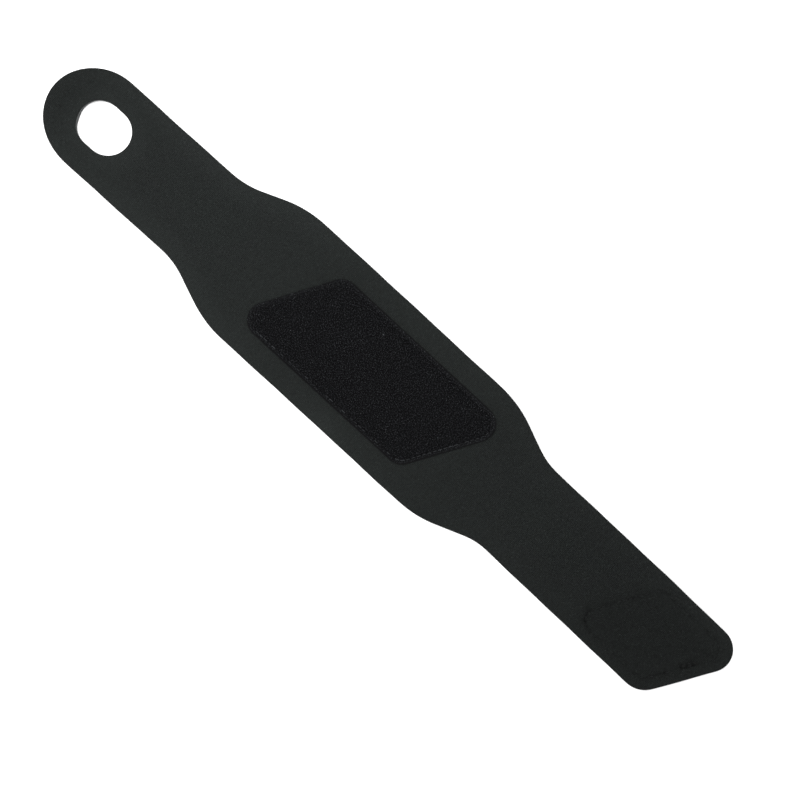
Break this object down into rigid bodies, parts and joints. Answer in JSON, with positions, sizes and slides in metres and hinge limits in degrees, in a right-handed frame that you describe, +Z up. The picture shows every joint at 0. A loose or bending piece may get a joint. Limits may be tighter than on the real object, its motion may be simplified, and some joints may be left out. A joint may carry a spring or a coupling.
{
  "type": "wrist brace",
  "caption": "Flat wrap wrist brace of fabric-faced foam rubber with a thumb hole, a loop patch on its outer face and a hook patch under its slanted strap end.",
  "frame": {"origin": "middle of the underside, on the surface that the brace lies on", "axes": "+X along the wrap from the thumb hole to the slanted strap end, +Y across it, +Z up out of the face with the loop patch"},
  "size_m": [0.4303, 0.0748, 0.005],
  "materials": {
    "foam_rubber_laminate": "matte black jersey over closed-cell foam rubber",
    "loop_tape": "black napped nylon loop pile",
    "hook_tape": "black woven nylon tape with stiff hooks"
  },
  "bodies": {
    "root": {"wrap": "foam_rubber_laminate", "loop_patch": "loop_tape", "hook_patch": "hook_tape"}
  },
  "joints": []
}
